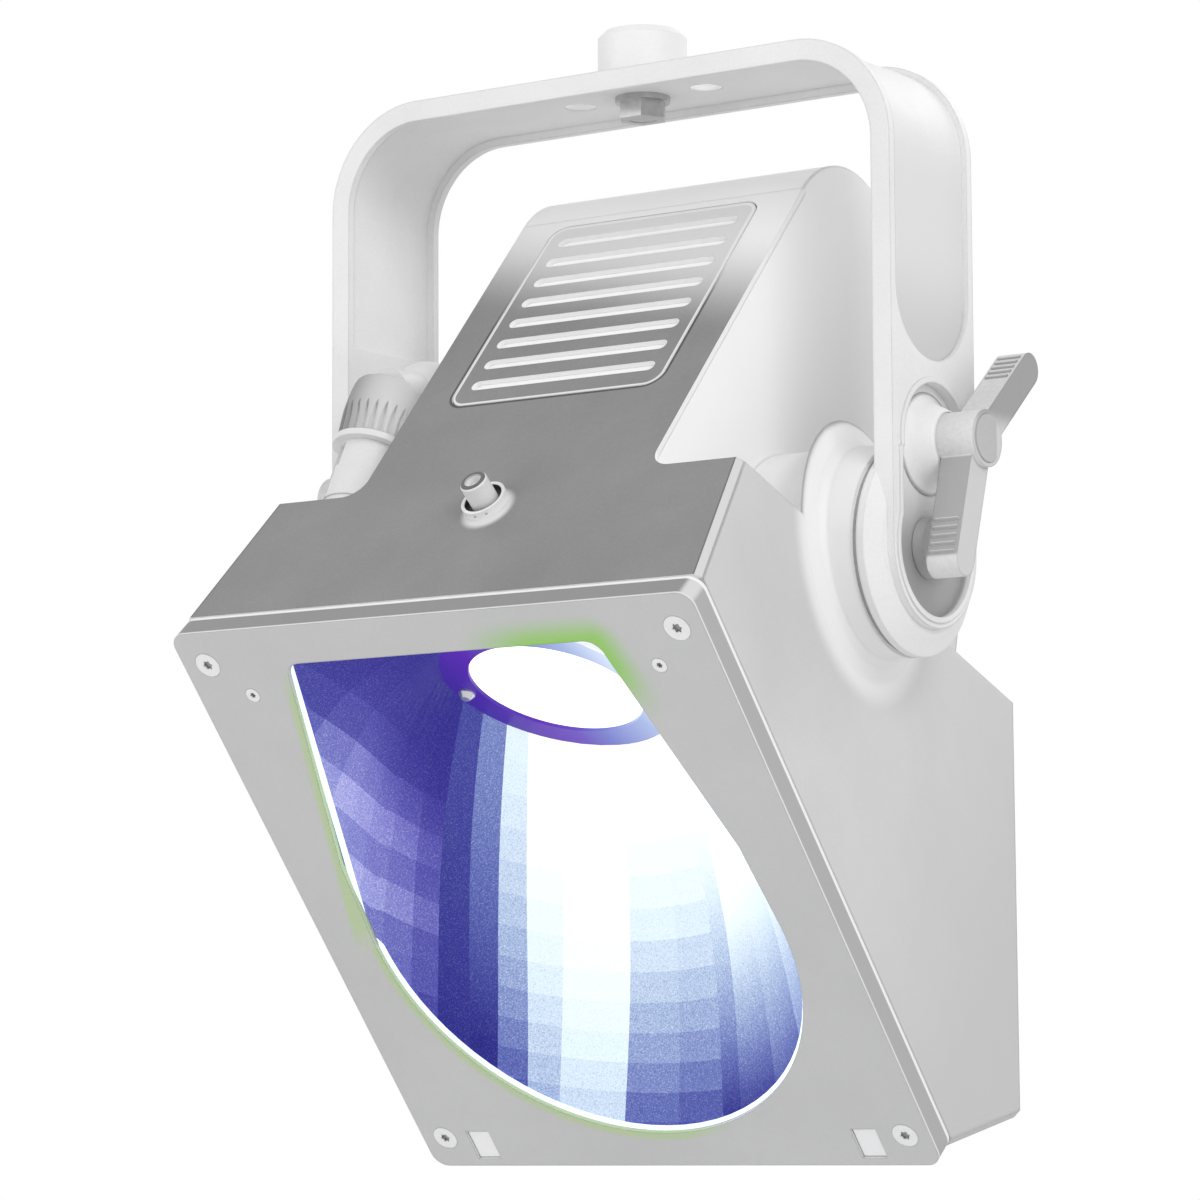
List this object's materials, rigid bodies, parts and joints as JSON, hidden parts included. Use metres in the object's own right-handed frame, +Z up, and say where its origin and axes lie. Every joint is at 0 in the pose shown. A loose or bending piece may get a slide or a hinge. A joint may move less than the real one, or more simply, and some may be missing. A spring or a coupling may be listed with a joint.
{
  "type": "cyclorama light",
  "caption": "Tilting cyclorama light: wedge-shaped cast head with a faceted asymmetric reflector and vented neck, hung in a U-shaped yoke with tilt-lock levers.",
  "frame": {"origin": "mouth of the hanging thread, on its axis, at the top of the clamp foot", "axes": "+Z up along the hanging thread; +X towards the right-hand lever as seen from the light opening side; the light opening faces -Y and down"},
  "size_m": [0.3412, 0.3106, 0.4911],
  "materials": {
    "cast_pale": "satin powder coat",
    "foot_pale": "satin powder coat",
    "lever_pale": "fine matt moulding",
    "body_pale": "satin powder coat on a casting",
    "bezel_grey": "satin powder coat",
    "cover_grey": "satin mid-grey coat",
    "steel": "zinc plated",
    "bright_steel": "bright plated",
    "cap_pale": "satin",
    "bronze": "plain bronze",
    "friction_pad": "pressed fibre",
    "seal": "pale sponge seal",
    "reflector_foil": null,
    "lens_glass": "frosted",
    "white_plastic": "moulded",
    "ring_grey": "moulded, fluted",
    "sink_alu": "mill finish",
    "black_plastic": "moulded",
    "circuit": "circuit laminate"
  },
  "bodies": {
    "yoke": {"yoke": "cast_pale", "clamp_foot": "foot_pale", "hanging_bolt": "steel", "bolt_washer": "steel", "pivot_bushes": "bronze", "brake_plates": "steel"},
    "head": {"body_shell": "body_pale", "friction_discs": "friction_pad", "pivot_bolts": "cap_pale", "pivot_nuts": "steel", "front_bezel": "bezel_grey", "seam_gasket": "seal", "bezel_screws": "bright_steel", "retainer_screws": "bright_steel", "retainer_tabs": "steel", "reflector": "reflector_foil", "reflector_screw": "bright_steel", "reflector_frame": "steel", "engine_plate": "steel", "engine_screws": "bright_steel", "engine_posts": "bright_steel", "led_window": "lens_glass", "window_ring": "bright_steel", "mixing_chamber": "white_plastic", "led_board": "circuit", "heat_sink": "sink_alu", "fan_frame": "black_plastic", "fan_screws": "bright_steel", "driver_board": "circuit", "driver_parts": "black_plastic", "board_standoffs": "bronze", "top_cover": "cover_grey", "cover_screws": "bright_steel", "vent_grille": "cover_grey", "vent_filter": "seal", "rear_grille": "steel", "plunger_collar": "bright_steel", "power_inlet": "white_plastic", "plug_skirt": "white_plastic", "plug_gland": "white_plastic", "data_sockets": "black_plastic"},
    "lever_r": {"lever_right": "lever_pale", "lever_cap_right": "cap_pale", "lever_flange_right": "bright_steel"},
    "lever_l": {"lever_left": "lever_pale", "lever_cap_left": "cap_pale", "lever_flange_left": "bright_steel"},
    "fan": {"fan_rotor": "black_plastic"},
    "plunger": {"plunger_pin": "bright_steel"},
    "clamp_ring": {"plug_ring": "ring_grey"}
  },
  "joints": [
    {"name": "head_tilt", "type": "hinge", "parent": "yoke", "child": "head", "pos_m": [0, 0, -0.2376], "axis": [1, 0, 0], "range_deg": [-75, 65]},
    {"name": "lever_right_turn", "type": "hinge", "parent": "yoke", "child": "lever_r", "pos_m": [0.1448, 0, -0.194], "axis": [1, 0, 0], "range_deg": [-60, 60]},
    {"name": "lever_left_turn", "type": "hinge", "parent": "yoke", "child": "lever_l", "pos_m": [-0.1448, 0, -0.194], "axis": [1, 0, 0], "range_deg": [-60, 60]},
    {"name": "fan_spin", "type": "hinge", "parent": "head", "child": "fan", "pos_m": [0, -0.03015, -0.20697], "axis": [0, 0.4003, 0.9164], "continuous": true},
    {"name": "plunger_press", "type": "slide", "parent": "head", "child": "plunger", "axis": [0, 0.7447, -0.6674], "range_m": [0, 0.003], "stiffness_N_per_m": 600, "springref_m": -0.003},
    {"name": "clamp_ring_turn", "type": "hinge", "parent": "head", "child": "clamp_ring", "pos_m": [-0.1, -0.07699, -0.21935], "axis": [0, 0.3681, 0.9298], "range_deg": [0, 40]}
  ]
}
